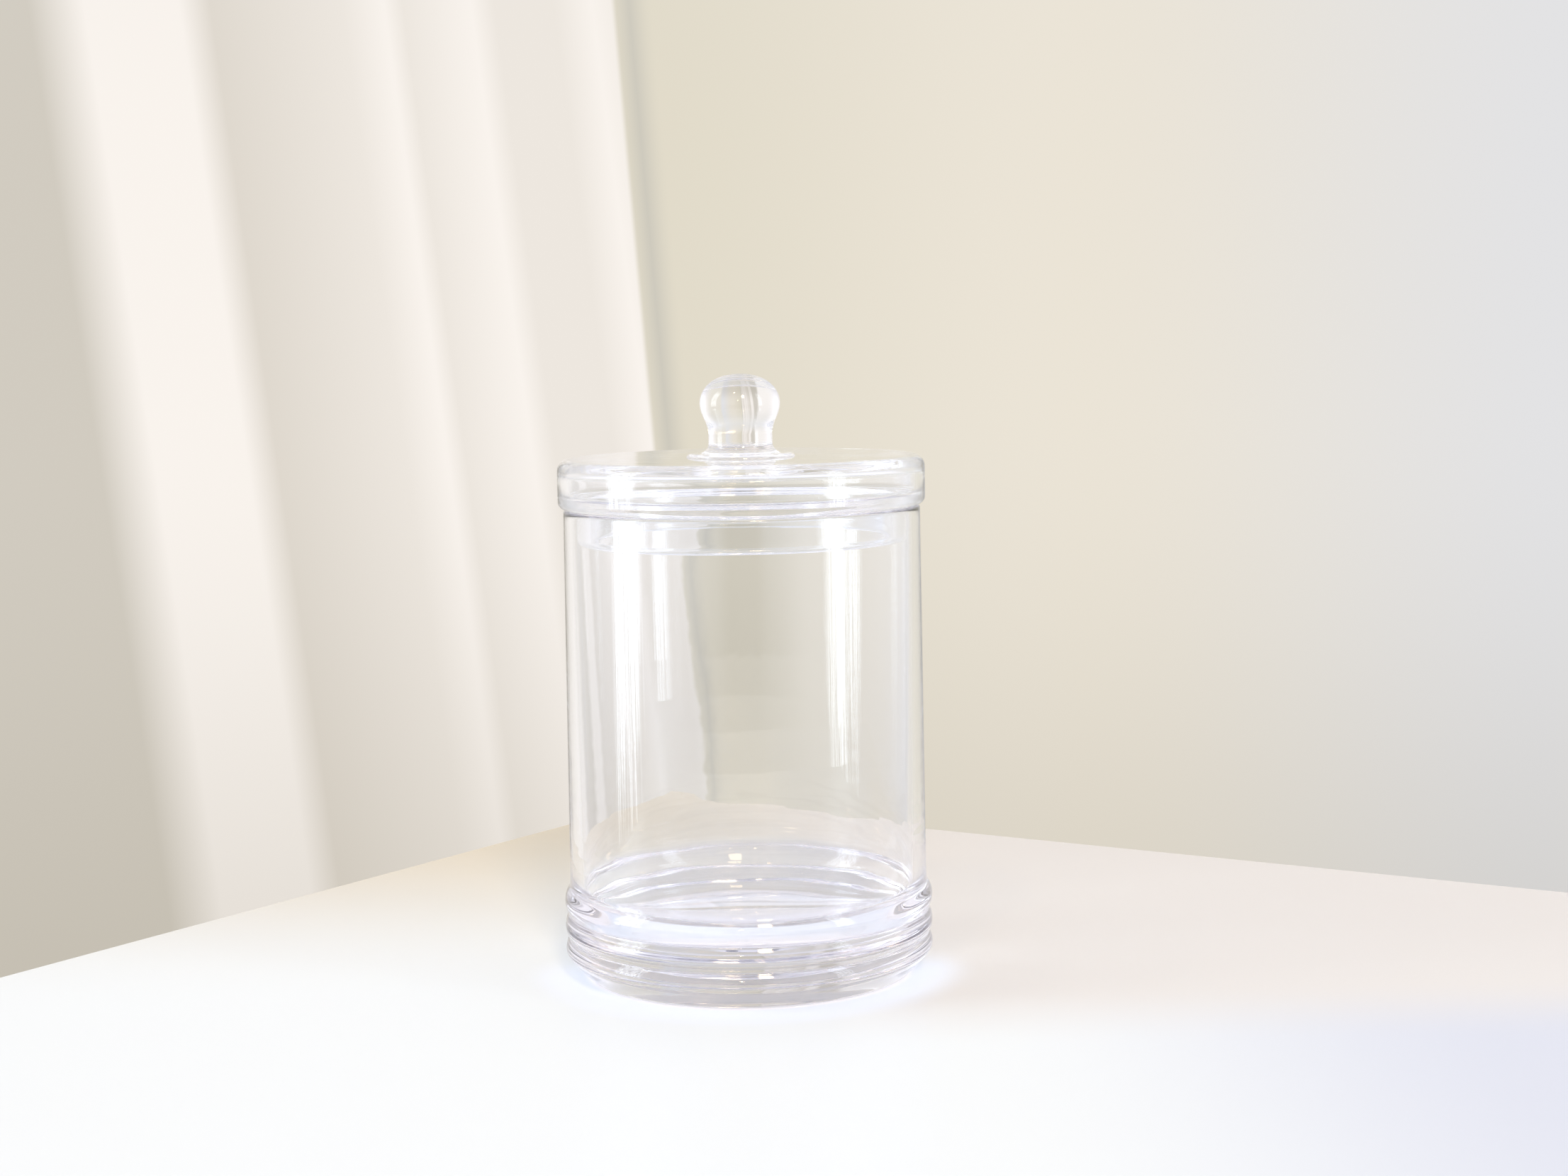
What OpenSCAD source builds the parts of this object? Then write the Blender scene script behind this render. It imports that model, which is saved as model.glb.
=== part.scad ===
// Empty candle jar of clear glass, with a hollow plug lid and a solid knob.
// Millimetres. +Z is up. The origin is the middle of the foot, on the table.

/* [Jar wall] */
// Outside diameter of the straight wall at the rim
jar_d = 100; // [80:1:130]
// Height of the jar from the table to the rim
jar_h = 132; // [90:1:200]
// Thickness of the wall at the rim
rim_wall = 2.2; // [1.8:0.1:3.4]
// Thickness of the wall just above the floor
low_wall = 3.6; // [2.4:0.1:4.6]
// How much the wall's radius grows from the rim down to the beads
wall_flare = 0.6; // [0:0.1:1]
// Radius that rounds both edges of the rim
rim_round = 0.8; // [0.3:0.1:0.8]

/* [Base] */
// Thickness of the glass under the inside of the jar
floor_t = 14.5; // [9:0.5:20]
// Radius of the inside corner between the wall and the floor
floor_round = 13; // [4:0.5:14]
// Width and height of the sloping heel between the foot and the lowest bead
heel = 6.5; // [3:0.5:8]
// Width of the flat ring that the jar stands on
foot_w = 6; // [3:0.5:10]
// Height of the push-up inside that ring
punt_h = 1.4; // [0.6:0.1:3]

/* [Beads] */
// Number of bead rings round the base
bead_count = 3; // [1:1:3]
// Height of one bead, from groove to groove
bead_h = 7; // [5:0.1:8]
// How far a bead's crest stands out past the wall
bead_out = 1.6; // [1:0.1:2.5]
// Depth of the groove between two beads
groove = 1.1; // [0.6:0.1:1.6]
// Height of the lowest bead's lower groove, which the heel cuts away
bead_low = 3.9; // [2:0.1:6]

/* [Lid shell] */
// How far the lid stands out past the rim
lid_over = 1.5; // [0.5:0.1:4]
// Height of the lid from its seat to its flat top
lid_h = 13.9; // [11:0.1:24]
// Thickness of the lid's glass
lid_wall = 2.9; // [2:0.1:3.6]
// Radius of the lid's upper outside corner
lid_round = 3.2; // [1.5:0.1:4]
// Radius of the lid's lower outside corner, small enough to leave a flat seat over the rim
seat_round = 2.2; // [1:0.1:2.6]
// Radius of the inside corners of the band
band_round = 1.8; // [1:0.1:3]
// Gap between the lid's seat and the rim
seat_gap = 0.1; // [0.05:0.05:0.3]

/* [Plug skirt] */
// Depth of the skirt that hangs inside the mouth, below the seat
skirt_h = 10; // [6:0.5:20]
// Thickness of the skirt
skirt_wall = 3.6; // [2.4:0.1:4.5]
// Radius of the inside turn from the seat down into the skirt
throat_round = 1.8; // [1:0.1:3]
// Flat left on the skirt's end between its two rounded edges
tip_flat = 0.4; // [0.2:0.1:1]
// Gap all round between the skirt and the mouth
skirt_gap = 1.6; // [0.4:0.1:3]

/* [Knob] */
// Largest diameter of the knob
knob_d = 22.6; // [18.6:0.2:34]
// Diameter of the knob's neck
neck_d = 17.9; // [10:0.1:20]
// Height of the knob above its collar
knob_h = 19.2; // [16:0.1:32]
// Height of the straight neck, from the collar to where the knob swells
neck_h = 2.4; // [1:0.1:8]
// Height of the knob's widest ring above the collar
wide_h = 11; // [9:0.1:14]
// How square the knob's crown is: 1 is a plain ellipse, less is squarer
crown = 0.9; // [0.6:0.05:1]
// Diameter of the collar where it is fused to the lid
collar_d = 30.4; // [26:0.2:44]
// Height of the collar
collar_h = 3.9; // [3:0.1:6]
// Thickness of the collar's edge
collar_edge = 1; // [0.6:0.1:1.6]

/* [Hidden] */
$fn = 96;
arc_steps = 12;
glass = [0.80, 0.86, 0.92, 0.45];

rim_r = jar_d / 2;
mouth_r = rim_r - rim_wall;
wall_r = rim_r + wall_flare;
crest_r = wall_r + bead_out;
bead_round = (bead_h * bead_h / 4 + groove * groove) / (2 * groove);
bead_top = bead_low + bead_count * bead_h;
foot_r = crest_r - heel;
punt_r = foot_r - foot_w;
corner_z = floor_t + floor_round;
corner_r = wall_r - low_wall;

lid_r = rim_r + lid_over;
seat_z = jar_h + seat_gap;
lid_top = seat_z + lid_h;
skirt_r = mouth_r - skirt_gap;
skirt_in = skirt_r - skirt_wall;
skirt_end = seat_z - skirt_h;
lid_in = lid_r - lid_wall;
skirt_tip = (skirt_wall - tip_flat) / 2;

collar_top = lid_top + collar_h;
knob_top = collar_top + knob_h;
collar_flare = collar_h - collar_edge;

// Points of an arc round [r, z], from one angle to another.
function arc(r, z, radius, from, to) =
    [for (i = [0 : arc_steps])
        let (a = from + (to - from) * i / arc_steps)
        [r + radius * cos(a), z + radius * sin(a)]];

// Half section of the jar's outside, with straight wall and foot.
module wall_outline() {
    polygon(concat(
        [[0, 0], [wall_r, 0], [wall_r, bead_top]],
        arc(rim_r - rim_round, jar_h - rim_round, rim_round, 0, 90),
        [[0, jar_h]]));
}

// Half sections of the bead rings, one circle each.
module bead_outlines() {
    for (i = [0 : bead_count - 1])
        translate([crest_r - bead_round, bead_low + (i + 0.5) * bead_h])
            circle(r = bead_round);
}

// What the sloping heel and the table cut away.
module heel_cut() {
    polygon([[foot_r, 0], [foot_r + 2 * heel, 2 * heel], [foot_r + 2 * heel, -2 * bead_round],
             [-1, -2 * bead_round], [-1, 0]]);
}

// The push-up under the base, a shallow dome.
module punt_cut() {
    dome = (punt_r * punt_r + punt_h * punt_h) / (2 * punt_h);
    reach = asin(punt_r / dome);
    polygon(concat([[0, 0]], arc(0, punt_h - dome, dome, 90 - reach, 90)));
}

// The inside of the jar, from the floor up through the mouth.
module hollow() {
    polygon(concat(
        [[0, floor_t]],
        arc(corner_r - floor_round, corner_z, floor_round, -90, 0),
        [[mouth_r, jar_h - rim_round]],
        arc(mouth_r + rim_round, jar_h - rim_round, rim_round, 180, 90),
        [[mouth_r + rim_round, jar_h + 1], [0, jar_h + 1]]));
}

module jar() {
    color(glass) rotate_extrude() difference() {
        union() {
            wall_outline();
            intersection() {
                bead_outlines();
                translate([corner_r - 1, 0]) square([crest_r, bead_top + bead_h]);
            }
        }
        heel_cut();
        punt_cut();
        hollow();
    }
}

// One even shell: top, band, seat and skirt, open at the bottom.
module lid() {
    color(glass) rotate_extrude() polygon(concat(
        [[0, lid_top]],
        arc(lid_r - lid_round, lid_top - lid_round, lid_round, 90, 0),
        arc(lid_r - seat_round, seat_z + seat_round, seat_round, 0, -90),
        [[skirt_r, seat_z]],
        arc(skirt_r - skirt_tip, skirt_end + skirt_tip, skirt_tip, 0, -90),
        arc(skirt_in + skirt_tip, skirt_end + skirt_tip, skirt_tip, -90, -180),
        arc(skirt_in + throat_round, seat_z + lid_wall - throat_round, throat_round, 180, 90),
        arc(lid_in - band_round, seat_z + lid_wall + band_round, band_round, -90, 0),
        arc(lid_in - band_round, lid_top - lid_wall - band_round, band_round, 0, 90),
        [[0, lid_top - lid_wall]]));
}

// Wafer of glass that joins the knob to the lid.
module knob_collar() {
    color(glass) rotate_extrude() polygon(concat(
        [[0, lid_top], [collar_d / 2, lid_top]],
        arc(collar_d / 2 - collar_edge / 2, lid_top + collar_edge / 2, collar_edge / 2, 0, 90),
        arc(neck_d / 2 + collar_flare, collar_top, collar_flare, -90, -180),
        [[0, collar_top]]));
}

// Solid drop: a straight neck that swells into a flattened ball.
module knob() {
    wide_r = knob_d / 2;
    neck_r = neck_d / 2;
    neck_z = collar_top + neck_h;
    wide_z = collar_top + wide_h;
    color(glass) rotate_extrude() polygon(concat(
        [[0, collar_top], [neck_r, collar_top], [neck_r, neck_z]],
        [for (i = [1 : arc_steps - 1])
            let (t = i / arc_steps)
            [neck_r + (wide_r - neck_r) * (1 - cos(180 * t)) / 2, neck_z + (wide_z - neck_z) * t]],
        [for (i = [0 : arc_steps - 1])
            let (a = 90 * i / arc_steps)
            [wide_r * pow(cos(a), crown), wide_z + (knob_top - wide_z) * sin(a)]],
        [[0, knob_top]]));
}

jar();
lid();
knob_collar();
knob();
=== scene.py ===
import math
import bmesh
import bpy
from mathutils import Matrix, Vector


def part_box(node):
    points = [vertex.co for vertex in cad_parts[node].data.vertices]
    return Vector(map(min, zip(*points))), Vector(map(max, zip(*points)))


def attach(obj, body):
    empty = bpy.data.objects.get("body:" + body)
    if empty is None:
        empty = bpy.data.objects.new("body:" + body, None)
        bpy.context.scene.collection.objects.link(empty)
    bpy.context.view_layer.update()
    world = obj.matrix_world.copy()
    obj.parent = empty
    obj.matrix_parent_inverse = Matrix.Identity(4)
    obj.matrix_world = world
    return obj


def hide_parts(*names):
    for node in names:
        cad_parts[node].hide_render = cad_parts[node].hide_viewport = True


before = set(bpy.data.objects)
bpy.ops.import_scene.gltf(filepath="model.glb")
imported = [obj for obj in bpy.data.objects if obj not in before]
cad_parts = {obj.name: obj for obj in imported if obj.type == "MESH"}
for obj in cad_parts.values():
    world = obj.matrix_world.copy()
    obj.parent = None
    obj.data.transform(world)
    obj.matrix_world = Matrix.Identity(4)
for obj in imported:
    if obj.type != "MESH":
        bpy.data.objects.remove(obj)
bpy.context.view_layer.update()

MM = 0.001


# ---------------------------------------------------------------------------
# Jar. One thick-bottomed body of clear soda glass, blown into a mould: the
# straight wall, three bead rings and the sloping heel come from the mould, and
# the inside is free blown, so the floor and the lower wall are faintly rippled.

def arc(r, z, radius, start, end, steps=16):
    """Points of an arc round (r, z), between two angles in degrees."""
    turns = [math.radians(start + (end - start) * i / steps) for i in range(steps + 1)]
    return [(r + radius * math.cos(t), z + radius * math.sin(t)) for t in turns]


def fill(points, step):
    """The same outline with extra points, no further apart than step."""
    full = [points[0]]
    for (r0, z0), (r1, z1) in zip(points, points[1:]):
        cuts = max(1, math.ceil(math.hypot(r1 - r0, z1 - z0) / step))
        full += [(r0 + (r1 - r0) * i / cuts, z0 + (z1 - z0) * i / cuts) for i in range(1, cuts + 1)]
    return full


def fire_polish(points, passes):
    """Rounds the corners of an outline, as the glory hole does, and keeps its two ends."""
    for _ in range(passes):
        inner = [
            tuple((a + 2 * b + c) / 4 for a, b, c in zip(p, q, s))
            for p, q, s in zip(points, points[1:], points[2:])
        ]
        points = [points[0], *inner, points[-1]]
    return points


class Wire:
    """A socket of a node tree, with the arithmetic that the materials use."""

    def __init__(self, tree, socket):
        self.tree, self.socket = tree, socket

    def maths(self, operation, *values):
        return nodes_of(self.tree).add(
            "ShaderNodeMath", {"operation": operation}, dict(enumerate(values)))

    def __add__(self, other):
        return self.maths("ADD", self, other)

    def __sub__(self, other):
        return self.maths("SUBTRACT", self, other)

    def __mul__(self, other):
        return self.maths("MULTIPLY", self, other)

    def __truediv__(self, other):
        return self.maths("DIVIDE", self, other)


class nodes_of:
    """Adds nodes to a tree: a type, its settings, then the values or links of its sockets."""

    def __init__(self, tree):
        self.tree = tree

    def add(self, kind, settings=None, inputs=None, output=0):
        node = self.tree.nodes.new(kind)
        for name, value in (settings or {}).items():
            setattr(node, name, value)
        for name, value in (inputs or {}).items():
            self.set(node.inputs[name], value)
        return Wire(self.tree, node.outputs[output])

    def set(self, socket, value):
        if isinstance(value, Wire):
            self.tree.links.new(value.socket, socket)
        else:
            socket.default_value = value


def ramp(value, start, end):
    """0 at one value and 1 at another, eased between them."""
    return nodes_of(value.tree).add("ShaderNodeMapRange", {"interpolation_type": "SMOOTHSTEP"},
                                    {"Value": value, "From Min": start, "From Max": end})


def blend(factor, first, second):
    """A colour between two others."""
    return nodes_of(factor.tree).add("ShaderNodeMix", {"data_type": "RGBA"},
                                     {"Factor": factor, 6: first, 7: second}, 2)


def turning_tree():
    """Geometry nodes that turn an outline round Z and leave it as wavy as hand-worked glass.

    The outline is a chain of points in the XZ plane. Each point says which way is out of the
    glass (away), how free the glass was to wander there (free) and if it's fused (fused)."""
    tree = bpy.data.node_groups.new("turned_glass", "GeometryNodeTree")
    face = tree.interface
    face.new_socket("Geometry", in_out="INPUT", socket_type="NodeSocketGeometry")
    for name, kind, value in (
        ("Segments", "Int", 240),
        ("Sag height", "Float", 0.0),
        ("Streak height", "Float", 0.0),
        ("Ripple height", "Float", 0.0),
        ("Ripple reach", "Float", 0.0),
        ("Seed", "Float", 0.0),
    ):
        face.new_socket(name, in_out="INPUT", socket_type="NodeSocket" + kind).default_value = value
    for name in ("Glass", "Fused glass"):
        face.new_socket(name, in_out="INPUT", socket_type="NodeSocketMaterial")
    face.new_socket("Geometry", in_out="OUTPUT", socket_type="NodeSocketGeometry")

    make = nodes_of(tree)
    entry = tree.nodes.new("NodeGroupInput")
    given = {s.name: Wire(tree, s) for s in entry.outputs if s.name}
    index = make.add("GeometryNodeInputIndex")
    rows = make.add("GeometryNodeAttributeDomainSize", {"component": "MESH"}, {0: given["Geometry"]})
    column = make.add("ShaderNodeMath", {"operation": "FLOOR"}, {0: index / rows})
    row = index - column * rows
    turn = column / given["Segments"] * math.tau

    def kept(kind, name):
        """What a named attribute says at each point."""
        return make.add("GeometryNodeInputNamedAttribute", {"data_type": kind}, {"Name": name})

    def sampled(kind, value):
        """A value of the outline's own point, for each point of the turned grid."""
        return make.add("GeometryNodeSampleIndex", {"data_type": kind, "domain": "POINT"},
                        {"Geometry": given["Geometry"], "Value": value, "Index": row})

    def turned(vector):
        """The vector, turned round Z by the angle of its column."""
        return make.add("ShaderNodeVectorRotate", {"rotation_type": "Z_AXIS"},
                        {"Vector": vector, "Angle": turn})

    section = sampled("FLOAT_VECTOR", make.add("GeometryNodeInputPosition"))
    place = turned(section)
    away = turned(sampled("FLOAT_VECTOR", kept("FLOAT_VECTOR", "away")))
    free = sampled("FLOAT", kept("FLOAT", "free"))
    height = make.add("ShaderNodeSeparateXYZ", None, {0: place}, "Z")

    def stretched(vector, by):
        """The vector, scaled along each axis by its own amount."""
        return make.add("ShaderNodeVectorMath", {"operation": "MULTIPLY"}, {0: vector, 1: by})

    def wander(spot, scale, detail):
        """Noise from about -1 to 1."""
        noise = make.add("ShaderNodeTexNoise", {"noise_dimensions": "4D"},
                         {"Vector": spot, "W": given["Seed"], "Scale": scale, "Detail": detail})
        return (noise - 0.5) * 2.0

    low = ramp(height, given["Ripple reach"], given["Ripple reach"] * 0.5)
    # Streaks run upright and ripples run round, so their noise is stretched that way.
    upright = stretched(place, (1.0, 1.0, 0.07))
    rings = make.add("ShaderNodeVectorMath", {"operation": "ADD"},
                     {0: section, 1: stretched(place, (0.12, 0.12, 0.0))})
    sag = wander(place, 22.0, 0.0) * given["Sag height"]
    streak = wander(upright, 150.0, 1.0) * given["Streak height"]
    ripple = wander(rings, 330.0, 1.0) * given["Ripple height"] * low
    lift = (sag + streak + ripple) * free
    shift = make.add("ShaderNodeVectorMath", {"operation": "SCALE"}, {0: away, "Scale": lift})

    grid = make.add("GeometryNodeMeshGrid", None,
                    {"Vertices X": given["Segments"] + 1.0, "Vertices Y": rows})
    shape = make.add("GeometryNodeStoreNamedAttribute", {"data_type": "FLOAT", "domain": "POINT"},
                     {"Geometry": grid, "Name": "fused",
                      "Value": sampled("FLOAT", kept("FLOAT", "fused"))})
    shape = make.add("GeometryNodeSetPosition", None,
                     {"Geometry": shape, "Position": place, "Offset": shift})
    shape = make.add("GeometryNodeMergeByDistance", None, {"Geometry": shape, "Distance": 2e-6})
    shape = make.add("GeometryNodeRealizeInstances", None, {"Geometry": shape})
    shape = make.add("GeometryNodeSetMaterial", None, {"Geometry": shape, "Material": given["Glass"]})
    joint = kept("FLOAT", "fused")
    shape = make.add("GeometryNodeSetMaterial", None,
                     {"Geometry": shape, "Selection": joint.maths("GREATER_THAN", joint, 0.99),
                      "Material": given["Fused glass"]})
    end = tree.nodes.new("NodeGroupOutput")
    make.set(end.inputs["Geometry"], shape)
    return tree


TURNED = turning_tree()


def turn_glass(name, points, free, fused, settings):
    """A closed piece of glass, turned from its outline in millimetres, foot first and inside last."""
    last = len(points) - 1
    outline = bpy.data.meshes.new(name + "_outline")
    outline.from_pydata([(r * MM, 0.0, z * MM) for r, z in points],
                        [(i, i + 1) for i in range(last)], [])
    ways = []
    for i in range(last + 1):
        (r0, z0), (r1, z1) = points[max(i - 1, 0)], points[min(i + 1, last)]
        way = Vector((z1 - z0, 0.0, r0 - r1)).normalized()
        if i in (0, last):
            way = Vector((0.0, 0.0, math.copysign(1.0, way.z)))
        ways += way[:]
    outline.attributes.new("away", "FLOAT_VECTOR", "POINT").data.foreach_set("vector", ways)
    for label, told in (("free", free), ("fused", fused)):
        values = [float(told(r, z)) for r, z in points]
        outline.attributes.new(label, "FLOAT", "POINT").data.foreach_set("value", values)

    piece = bpy.data.objects.new(name, outline)
    bpy.context.collection.objects.link(piece)
    turner = piece.modifiers.new("turned", "NODES")
    turner.node_group = TURNED
    sockets = {s.name: s.identifier for s in TURNED.interface.items_tree if s.in_out == "INPUT"}
    for label, value in settings.items():
        turner[sockets[label]] = value
    bpy.context.view_layer.update()
    ready = piece.evaluated_get(bpy.context.evaluated_depsgraph_get())
    mesh = bpy.data.meshes.new_from_object(ready)
    piece.modifiers.remove(turner)
    skin = bmesh.new()
    skin.from_mesh(mesh)
    bmesh.ops.recalc_face_normals(skin, faces=skin.faces)
    skin.to_mesh(mesh)
    skin.free()
    piece.data = mesh
    mesh.name = name
    bpy.data.meshes.remove(outline)
    mesh.shade_smooth()
    mesh.set_sharp_from_angle(angle=math.radians(50))
    return piece


def clear_glass(name, tint, smear, grain):
    """Clear glass with a faint skin: wiped smears in its gloss and a very fine wave in its face."""
    material = bpy.data.materials.new(name)
    material.use_nodes = True
    tree = material.node_tree
    shader = tree.nodes["Principled BSDF"]
    make = nodes_of(tree)
    spot = make.add("ShaderNodeTexCoord", None, None, "Object")
    wiped = make.add("ShaderNodeTexNoise", None,
                     {"Vector": spot, "Scale": 28.0, "Detail": 4.0, "Distortion": 1.2})
    dust = make.add("ShaderNodeTexNoise", None, {"Vector": spot, "Scale": 900.0, "Detail": 2.0})
    skin = make.add("ShaderNodeTexNoise", None, {"Vector": spot, "Scale": 160.0, "Detail": 2.0})
    smeared = [c * 0.985 for c in tint]
    make.set(shader.inputs["Base Color"], blend(wiped, (*tint, 1.0), (*smeared, 1.0)))
    make.set(shader.inputs["Roughness"], wiped * dust * smear)
    make.set(shader.inputs["Normal"], make.add(
        "ShaderNodeBump", None, {"Strength": 0.35, "Distance": grain, "Height": skin}))
    shader.inputs["IOR"].default_value = 1.51
    shader.inputs["Transmission Weight"].default_value = 1.0
    return material


grain = 0.02 * MM
JAR_GLASS = clear_glass("jar_glass", (0.985, 0.992, 1.0), 0.05, grain)

# The long way through the thick base shows the glass's own faint grey.
make = nodes_of(JAR_GLASS.node_tree)
grey = make.add("ShaderNodeVolumeAbsorption", None,
                {"Color": (0.775, 0.765, 0.805, 1.0), "Density": 10.0})
make.set(JAR_GLASS.node_tree.nodes["Material Output"].inputs["Volume"], grey)

# Two hot pieces of glass that are pressed together leave no surface between
# them, so the faces that meet there are closed in the mesh and not seen.
FUSED_GLASS = bpy.data.materials.new("fused_glass")
FUSED_GLASS.use_nodes = True
FUSED_GLASS.node_tree.nodes["Principled BSDF"].inputs["Alpha"].default_value = 0.0

jar_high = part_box("jar")[1]
jar_top = jar_high[2] / MM
crest = jar_high[0] / MM
bead_out, groove, bead_h, bead_low, beads = 1.6, 1.1, 7.0, 3.9, 3
wall_flare, rim_wall, rim_round = 0.6, 2.2, 0.8
wall = crest - bead_out
rim = wall - wall_flare
mouth = rim - rim_wall
heel, foot_w, punt_h = 6.5, 6.0, 1.4
floor_t, floor_round, low_wall = 14.5, 13.0, 3.6
foot = crest - heel
punt = foot - foot_w
bead_round = (bead_h ** 2 / 4 + groove ** 2) / (2 * groove)
half_bead = math.degrees(math.asin(bead_h / 2 / bead_round))
corner = wall - low_wall
heel_end, heel_turn = 5.2, -6  # where the heel stops, and the bead's angle there
wall_turn = math.degrees(math.acos((wall - crest + bead_round) / bead_round))

outline = fill([(0, punt_h), (punt * 0.5, punt_h * 0.8), (punt, 0), (foot, 0)], 2.0)
outline += fill([(foot + 0.4, 0.2), (foot + heel_end, heel_end)], 0.5)
for i in range(beads):
    middle = bead_low + (i + 0.5) * bead_h
    low = heel_turn if i == 0 else -half_bead
    high = wall_turn if i == beads - 1 else half_bead
    outline += arc(crest - bead_round, middle, bead_round, low, high, 14)
outline += fill([(wall, outline[-1][1] + 0.6), (rim, jar_top - rim_round)], 1.6)
outline += arc(rim - rim_round, jar_top - rim_round, rim_round, 10, 90, 6)
outline += arc(mouth + rim_round, jar_top - rim_round, rim_round, 90, 180, 6)
outline += fill([(mouth, jar_top - rim_round - 0.6), (corner, floor_t + floor_round)], 0.9)
outline += arc(corner - floor_round, floor_t + floor_round, floor_round, -3, -90, 18)
outline += fill([(corner - floor_round - 0.5, floor_t), (0, floor_t)], 1.0)
outline = fire_polish(outline, 2)

still_r = 1.5  # no piece wanders this close to its axis, where its rings close up


def jar_freedom(r, z):
    """Free on the inside, less so on the mould's side, and held at the rim and the foot."""
    inside = r < corner + 0.5 and z > floor_t - 1
    if z < 0.3 or z > jar_top - 3 or r < still_r:
        return 0.0
    return 1.0 if inside else 0.3


jar = turn_glass("jar_glass_body", outline, jar_freedom, lambda r, z: False, {
    "Segments": 256, "Sag height": 0.012 * MM, "Streak height": 0.010 * MM,
    "Ripple height": 0.03 * MM, "Ripple reach": 85 * MM, "Seed": 3.0,
    "Glass": JAR_GLASS, "Fused glass": FUSED_GLASS})
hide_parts("jar")
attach(jar, "jar")


# ---------------------------------------------------------------------------
# Lid. One hollow shell of the same glass, pressed with a flat top, a rounded
# band that overhangs the rim, a seat, and a plug skirt open at the bottom.

LID_GLASS = clear_glass("lid_glass", (0.975, 0.985, 1.0), 0.05, grain)
lid_low, lid_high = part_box("lid")
lid_r, lid_top, lid_end = lid_high[0] / MM, lid_high[2] / MM, lid_low[2] / MM
lid_wall, lid_round, seat_round, band_round, throat_round = 2.9, 3.2, 2.2, 1.8, 1.8
seat_gap, skirt_gap, skirt_wall, tip = 0.1, 1.6, 3.6, 1.6
seat = jar_top + seat_gap
skirt = mouth - skirt_gap
skirt_in = skirt - skirt_wall
lid_in = lid_r - lid_wall
collar_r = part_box("knob_collar")[1][0] / MM
touch = 0.01  # faces nearer than this meet

outline = fill([(0, lid_top - lid_wall), (lid_in - band_round, lid_top - lid_wall)], 2.0)
outline += arc(lid_in - band_round, lid_top - lid_wall - band_round, band_round, 80, 0, 8)
outline += arc(lid_in - band_round, seat + lid_wall + band_round, band_round, 0, -90, 8)
outline += arc(skirt_in + throat_round, seat + lid_wall - throat_round, throat_round, 90, 180, 8)
outline += fill([(skirt_in, seat), (skirt_in, lid_end + tip)], 1.2)
outline += arc(skirt_in + tip, lid_end + tip, tip, 190, 270, 7)
outline += arc(skirt - tip, lid_end + tip, tip, 270, 360, 8)
outline += fill([(skirt, lid_end + tip + 0.6), (skirt, seat - 0.4)], 1.2)
outline += fill([(skirt + 0.4, seat), (lid_r - seat_round, seat)], 0.8)
outline += arc(lid_r - seat_round, seat + seat_round, seat_round, -80, 0, 10)
outline += arc(lid_r - lid_round, lid_top - lid_round, lid_round, 0, 90, 10)
outline = fill(outline, 1.6)
outline = fire_polish(outline, 2)
outline += [(collar_r, lid_top), (0, lid_top)]
outline = fill(outline, 1.6)


def lid_freedom(r, z):
    """Held at the seat, and where the collar is fused on."""
    seated = z < seat + 0.6 and r > skirt - 0.5
    by_collar = z > lid_top - 0.2 and r < collar_r + 1.5
    return 0.0 if seated or by_collar or r < still_r else 1.0


def lid_joint(r, z):
    """Under the collar."""
    return z > lid_top - touch and r < collar_r + touch


lid = turn_glass("lid_glass_shell", outline, lid_freedom, lid_joint, {
    "Segments": 256, "Sag height": 0.07 * MM, "Streak height": 0.01 * MM,
    "Ripple height": 0.0, "Ripple reach": 0.1, "Seed": 11.0,
    "Glass": LID_GLASS, "Fused glass": FUSED_GLASS})
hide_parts("lid")
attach(lid, "lid")


# ---------------------------------------------------------------------------
# Knob collar. A wafer of glass dropped hot on the lid's top to take the knob:
# its edge stays round, and it flares up into the knob's neck.

KNOB_GLASS = clear_glass("knob_glass", (0.99, 0.99, 0.99), 0.04, grain)
collar_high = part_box("knob_collar")[1][2] / MM
neck = 17.9 / 2
edge = 1.0
brow = 2.4
flare = collar_high - lid_top - edge

outline = fill([(0, lid_top), (collar_r, lid_top)], 2.0)
outline += [
    (collar_r - brow + brow * math.cos(math.radians(t)), lid_top + edge * math.sin(math.radians(t)))
    for t in range(12, 90, 12)
]
outline += arc(neck + flare, collar_high, flare, -90, -180, 12)
outline += fill([(neck - touch, collar_high), (0, collar_high)], 2.0)
outline = fill(outline, 1.2)


def collar_joint(r, z):
    """On the lid and under the knob."""
    return z < lid_top + touch or z > collar_high - touch


collar = turn_glass("knob_collar_glass", outline, lambda r, z: 0.0, collar_joint, {
    "Segments": 128, "Sag height": 0.0, "Streak height": 0.0,
    "Ripple height": 0.0, "Ripple reach": 0.1, "Seed": 5.0,
    "Glass": KNOB_GLASS, "Fused glass": FUSED_GLASS})
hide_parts("knob_collar")
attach(collar, "lid")


# ---------------------------------------------------------------------------
# Knob. A solid drop of glass on the collar: a straight neck that swells into a
# ball with a flattened crown, smoothed in the flame.

knob_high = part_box("knob")[1]
knob_r, knob_top = knob_high[0] / MM, knob_high[2] / MM
neck_h, wide_h, crown = 2.4, 11, 0.9
swell_steps, crown_steps = 14, 20
neck_top = collar_high + neck_h
wide = collar_high + wide_h
outline = fill([(0, collar_high), (neck, collar_high)], 2.0)
outline += fill([(neck, collar_high + 0.5), (neck, neck_top)], 0.6)
for i in range(1, swell_steps):
    t = i / swell_steps
    r = neck + (knob_r - neck) * (1 - math.cos(math.pi * t)) / 2
    outline.append((r, neck_top + (wide - neck_top) * t))
for i in range(crown_steps):
    t = math.pi / 2 * i / crown_steps
    outline.append((knob_r * math.cos(t) ** crown, wide + (knob_top - wide) * math.sin(t)))
outline.append((0.0, knob_top))


def knob_freedom(r, z):
    """Held at the collar and at the very top."""
    return 1.0 if z > collar_high + 2 and r > still_r and z < knob_top - 1.5 else 0.0


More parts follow.
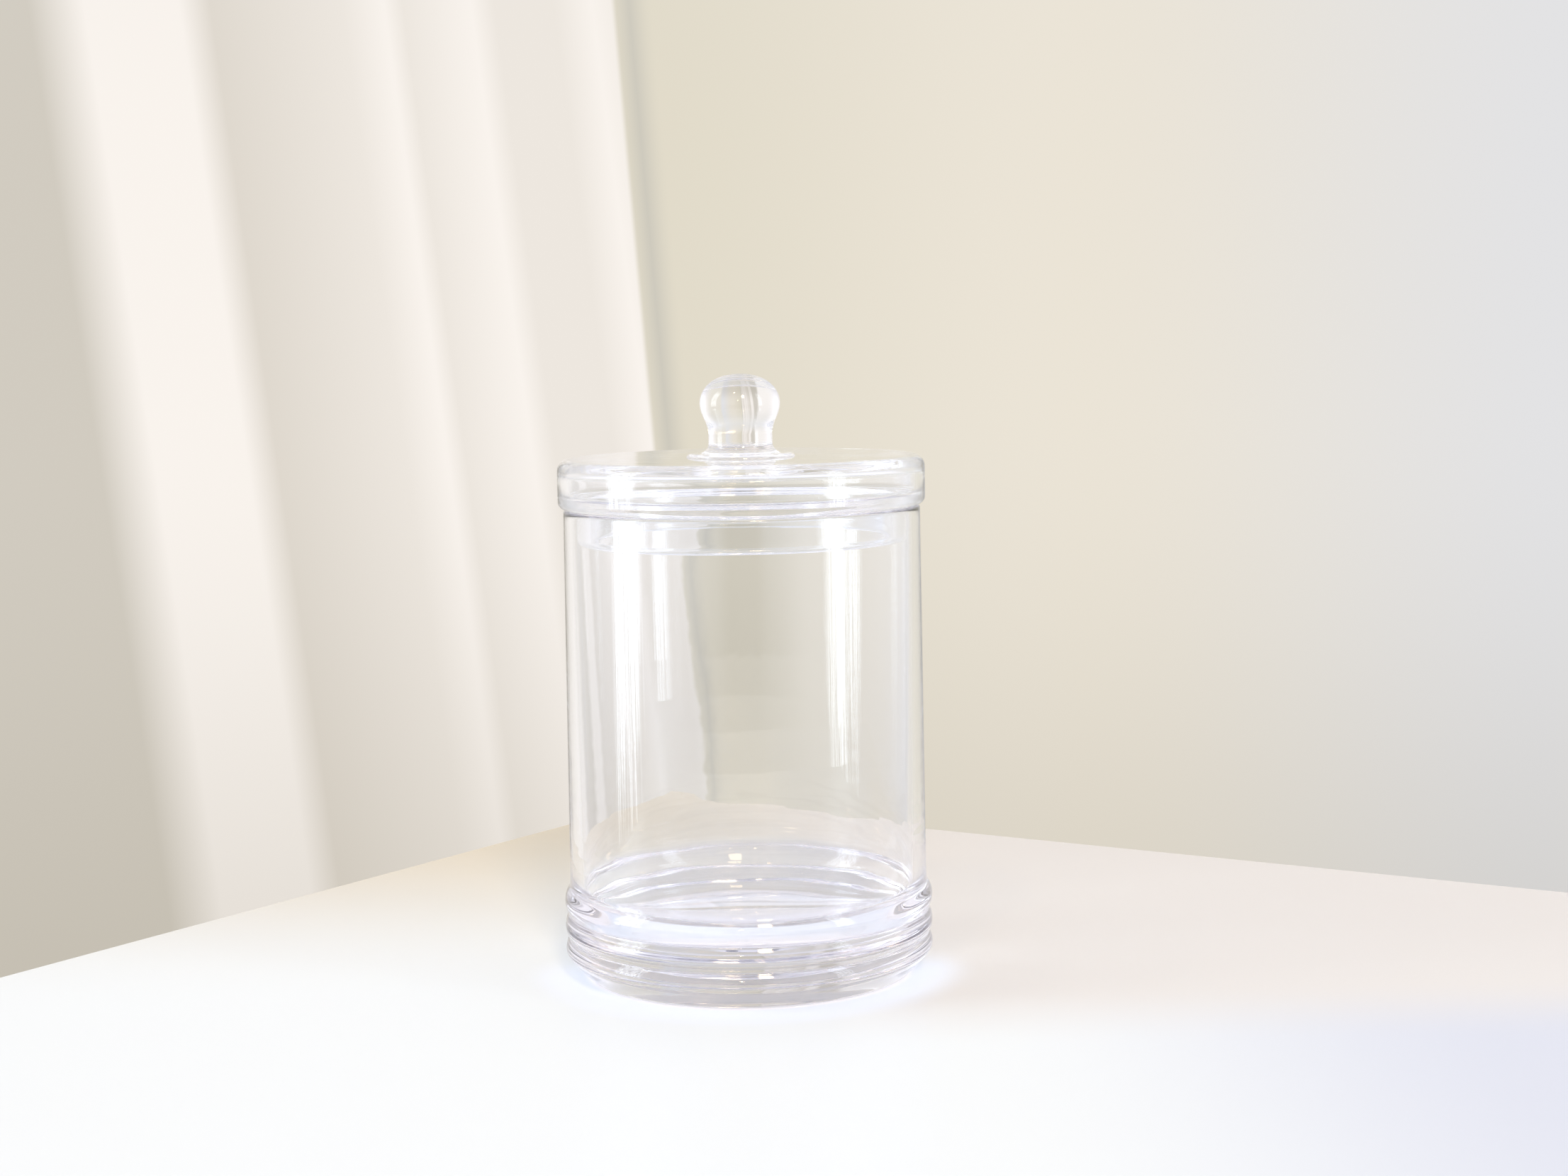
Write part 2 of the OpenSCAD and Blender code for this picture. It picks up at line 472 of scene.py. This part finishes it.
def knob_joint(r, z):
    """On the collar."""
    return z < collar_high + touch


knob = turn_glass("knob_glass_drop", outline, knob_freedom, knob_joint, {
    "Segments": 160, "Sag height": 0.08 * MM, "Streak height": 0.008 * MM,
    "Ripple height": 0.0, "Ripple reach": 0.1, "Seed": 8.0,
    "Glass": KNOB_GLASS, "Fused glass": FUSED_GLASS})
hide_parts("knob")
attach(knob, "lid")


# ---------------------------------------------------------------------------
# Table top. The plain white board that the jar stands on, with one corner behind
# the jar and a round front edge. Its colour holds painted light: a painted warm
# shade from the wall at its back and painted daylight at its front.

corner_at = Vector((-0.036, 0.264))
board_reach, front_start, front_sweep, front_steps = 0.45, 211.6, 142.3, 40
board = bpy.data.meshes.new("table_top")
edges = [corner_at] + [
    Vector((math.cos(t), math.sin(t))) * board_reach
    for t in (math.radians(front_start + front_sweep * i / front_steps)
              for i in range(front_steps + 1))
]
top, under = -0.00015, -0.02
count = len(edges)
around = range(count)
board.from_pydata(
    [(*p, z) for z in (under, top) for p in edges], [],
    [tuple(reversed(around)), tuple(i + count for i in around)]
    + [(i, (i + 1) % count, (i + 1) % count + count, i + count) for i in around])
table = bpy.data.objects.new("table_top", board)
bpy.context.collection.objects.link(table)
board_paint_and_painted_light = bpy.data.materials.new("table_paint_and_painted_light")
board_paint_and_painted_light.use_nodes = True
make = nodes_of(board_paint_and_painted_light.node_tree)
shader = board_paint_and_painted_light.node_tree.nodes["Principled BSDF"]
spot = make.add("ShaderNodeTexCoord", None, None, "Object")
across = make.add("ShaderNodeSeparateXYZ", None, {0: spot}, "X")
depth = make.add("ShaderNodeSeparateXYZ", None, {0: spot}, "Y")
mottle = make.add("ShaderNodeTexNoise", None, {"Vector": spot, "Scale": 40.0, "Detail": 3.0})
# Painted light at the front: brighter at the left, dimmer and bluer to the right.
front_painted_light = blend(ramp(across, 0.05, 0.20), (0.695, 0.735, 0.735, 1.0), (0.55, 0.585, 0.66, 1.0))
# Painted warm light to the right of the jar, where light comes through the glass.
front_painted_light = blend(ramp(across, 0.0, 0.06) * ramp(depth, -0.09, -0.03), front_painted_light,
              (0.64, 0.625, 0.595, 1.0))
# Painted shade at the back, warm and darkest at the left, where the wall shades the board.
back_painted_shade = blend(ramp(across, -0.08, 0.10), (0.555, 0.485, 0.35, 1.0), (0.585, 0.56, 0.52, 1.0))
board_with_painted_light = blend(ramp(depth, 0.22, -0.03), back_painted_shade, front_painted_light)
from_jar = make.add("ShaderNodeVectorMath", {"operation": "LENGTH"}, {0: spot}, "Value")

# Painted light and shade round the jar: a painted shadow on the board behind it,
# a painted pool of light round its foot, and painted light on the board under the foot.
aside = across.maths("ABSOLUTE", across)
painted_jar_shadow = ramp(from_jar, 0.16, 0.07) * ramp(depth, 0.0, 0.03) * ramp(aside, 0.052, 0.040)
board_with_painted_light = blend(painted_jar_shadow * 0.65, board_with_painted_light, (0.50, 0.46, 0.42, 1.0))
painted_light_pool = ramp(from_jar, 0.066, 0.050) * ramp(depth, 0.02, -0.01)
board_with_painted_light = blend(painted_light_pool, board_with_painted_light, (0.73, 0.79, 0.87, 1.0))
# Painted light under the foot, where light comes down through the glass.
board_with_painted_light = blend(ramp(from_jar, 0.048, 0.045), board_with_painted_light, (0.88, 0.86, 0.87, 1.0))
make.set(shader.inputs["Base Color"], blend(mottle * 0.08, board_with_painted_light, (0.66, 0.66, 0.66, 1.0)))

# Its front edge glows a little: painted light for the strong daylight that falls there.
painted_front_glow = ramp(depth, -0.20, -0.30)
make.set(shader.inputs["Emission Color"],
         blend(painted_front_glow, (0.0, 0.0, 0.0, 1.0), (0.14, 0.13, 0.13, 1.0)))
shader.inputs["Emission Strength"].default_value = 1.0
shader.inputs["Roughness"].default_value = 0.4
board.materials.append(board_paint_and_painted_light)


# ---------------------------------------------------------------------------
# Room. A plain warm wall ahead with a pleated curtain to its left, a tall soft
# window on either side, the viewer's own shade behind with two small warm lamps
# and a glow over it. Bearings are in radians, clockwise from straight ahead.

world = bpy.data.worlds.new("room")
bpy.context.scene.world = world
world.use_nodes = True
tree = world.node_tree
make = nodes_of(tree)
way = make.add("ShaderNodeTexCoord", None, None, "Generated")
split = tree.nodes.new("ShaderNodeSeparateXYZ")
make.set(split.inputs[0], way)
east, north, up = (Wire(tree, s) for s in split.outputs)
bearing = make.add("ShaderNodeMath", {"operation": "ARCTAN2"}, {0: east, 1: north})


def band(value, middle, half, soft):
    """1 within half of the middle, falling to 0 over a soft edge."""
    off = (value - middle).maths("ABSOLUTE", value - middle)
    return ramp(off, half + soft, half - soft)


def streaks(scale, seed):
    """Upright streaks of light and shade, from 0 to 1."""
    place = make.add("ShaderNodeCombineXYZ", None, {"X": bearing, "Y": up * 0.06, "Z": seed})
    noise = make.add("ShaderNodeTexNoise", None, {"Vector": place, "Scale": scale, "Detail": 2.0})
    return ramp(noise, 0.3, 0.7)


plaster = blend(ramp(bearing, -0.05, 0.12),
                (0.755, 0.705, 0.585, 1.0), (0.83, 0.775, 0.675, 1.0))
plaster = blend(ramp(bearing, 0.12, 0.32), plaster, (0.765, 0.765, 0.78, 1.0))

# The curtain's pleats lean to the right as they fall, with painted shade in the folds and painted light
# on the ridges: shade, ridge, shade, ridge.
pleat = tree.nodes.new("ShaderNodeValToRGB")
lean = bearing + up * 0.11
make.set(pleat.inputs["Fac"], make.add(
    "ShaderNodeMapRange", None, {"Value": lean, "From Min": -0.3, "From Max": -0.02}))
painted_deep_shade, painted_fold_shade = (0.64, 0.60, 0.53, 1.0), (0.74, 0.69, 0.62, 1.0)
cloth, painted_lit_ridge = (0.85, 0.80, 0.74, 1.0), (0.95, 0.90, 0.85, 1.0)
stops = [(0.0, painted_deep_shade), (0.20, painted_deep_shade), (0.27, painted_lit_ridge), (0.39, painted_lit_ridge), (0.43, painted_fold_shade),
         (0.60, cloth), (0.655, painted_lit_ridge), (0.68, cloth), (0.77, painted_lit_ridge), (0.80, cloth),
         (0.88, cloth), (0.93, painted_lit_ridge), (1.0, cloth)]
for place, _ in stops[1:-1]:
    pleat.color_ramp.elements.new(place)
for stop, (place, colour) in zip(pleat.color_ramp.elements, stops):
    stop.position, stop.color = place, colour

# Its edge hangs a little slanted and kicks in and out near the foot. Beside it, painted
# shade darkens a strip of the wall in the gap, where the curtain shadows it.
kick_in, kick_out = ramp(up, -0.075, -0.112) * 0.0082, ramp(up, -0.115, -0.17) * 0.0036
hem = bearing + up * 0.07 + kick_in - kick_out
painted_curtain_shadow = band(hem, -0.0305, 0.002, 0.007)
ahead = blend(painted_curtain_shadow, plaster, (0.56, 0.54, 0.48, 1.0))
ahead = blend(ramp(hem, -0.0375, -0.0350), Wire(tree, pleat.outputs["Color"]), ahead)
ahead = blend(ramp(up, -0.03, -0.30) * 0.35, ahead, (0.38, 0.34, 0.26, 1.0))
ahead = blend(ramp(bearing, 0.30, 0.36), ahead, (0.80, 0.76, 0.67, 1.0))
ahead = blend(ramp(bearing, -0.30, -0.36), ahead, (0.95, 0.91, 0.87, 1.0))
ahead = blend(ramp(up, 0.05, 0.6), ahead, (0.80, 0.79, 0.77, 1.0))

# Bright side walls, a duller wall behind, and the viewer before it, darker low down.
side = blend(ramp(up, -0.5, 0.1), (0.60, 0.60, 0.68, 1.0), (1.27, 1.24, 1.28, 1.0))
behind = blend(ramp(up, -0.18, 0.0), (0.24, 0.23, 0.22, 1.0), (0.86, 0.86, 0.93, 1.0))
turned_away = bearing.maths("ABSOLUTE", bearing)
room = blend(ramp(turned_away, 0.55, 1.1), ahead, side)
room = blend(ramp(turned_away, 2.3, 2.9), room, behind)
viewer = ramp(turned_away, 2.82, 3.0) * ramp(up, 0.45, 0.25)
coat = blend(ramp(up, -0.17, -0.06), (0.03, 0.03, 0.03, 1.0), (0.34, 0.30, 0.27, 1.0))
room = blend(viewer, room, coat)
room = blend(ramp(up, 0.35, 0.8), room, (1.02, 1.02, 1.12, 1.0))

# Net curtains break the windows into upright streaks with torn lower ends.
torn = up + (streaks(60.0, 9.0) - 0.5) * 0.05
tall = ramp(torn, -0.180, -0.150) * ramp(up, 0.75, 0.55)
left_window = band(bearing, -1.73, 0.17, 0.05) * tall * (streaks(80.0, 0.0) * 0.95 + 0.05)
right_window = band(bearing, 2.08, 0.10, 0.04) * tall * (streaks(80.0, 5.0) * 0.95 + 0.05)
daylight, lamplight = (0.82, 0.91, 1.0, 1.0), (1.0, 0.76, 0.48, 1.0)


def lamp(bearing_deg, lift_deg, size_deg):
    """A small round lamp, seen along one way."""
    turn, lift = math.radians(bearing_deg), math.radians(lift_deg)
    to_it = (math.sin(turn) * math.cos(lift), math.cos(turn) * math.cos(lift), math.sin(lift))
    near = make.add("ShaderNodeVectorMath", {"operation": "DOT_PRODUCT"}, {0: way, 1: to_it}, "Value")
    return ramp(near, math.cos(math.radians(size_deg)), math.cos(math.radians(size_deg * 0.6)))


def shining(colour, strength):
    """Light of one colour from all round, as strong as said."""
    return make.add("ShaderNodeBackground", None, {"Color": colour, "Strength": strength})


def both(first, second):
    """Two lights together."""
    return make.add("ShaderNodeAddShader", None, {0: first, 1: second})


glow = band(bearing, 2.96, 0.07, 0.03) * band(up, 0.56, 0.09, 0.04)
lamps = lamp(-175, 16, 1.6) + lamp(-158, 53, 2.4) + glow * 1.1
light = both(shining(room, 1.0), shining(daylight, left_window * 9.0 + right_window * 7.0))
light = both(light, shining(lamplight, lamps * 45.0))
make.set(tree.nodes["World Output"].inputs["Surface"], light)


# ---------------------------------------------------------------------------
# Camera. Eye level a little above the lid, close to the jar, very slightly
# tilted, as a hand-held camera is.

eye = Vector((0.0, -0.735, 0.1836))
yaw, pitch, roll = math.radians(0.896), math.radians(5.822), math.radians(0.975)
ahead_way = Vector((math.sin(yaw) * math.cos(pitch), math.cos(yaw) * math.cos(pitch), -math.sin(pitch)))
right_way = Vector((math.cos(yaw), -math.sin(yaw), 0.0))
up_way = right_way.cross(ahead_way)
right_tilted = right_way * math.cos(roll) - up_way * math.sin(roll)
up_tilted = right_tilted.cross(ahead_way)
lens = bpy.data.cameras.new("camera")
lens.sensor_width = 36.0
lens.lens = 60.217
camera = bpy.data.objects.new("camera", lens)
bpy.context.collection.objects.link(camera)
facing = Matrix((right_tilted, up_tilted, -ahead_way)).transposed().to_4x4()
camera.matrix_world = Matrix.Translation(eye) @ facing
bpy.context.scene.camera = camera
bpy.context.scene.view_settings.view_transform = "Standard"

# Light crosses many faces of clear glass here, so its paths are let run long.
paths = bpy.context.scene.cycles
paths.max_bounces = paths.transmission_bounces = paths.glossy_bounces = 48
paths.transparent_max_bounces = 16
paths.blur_glossy = 0.0
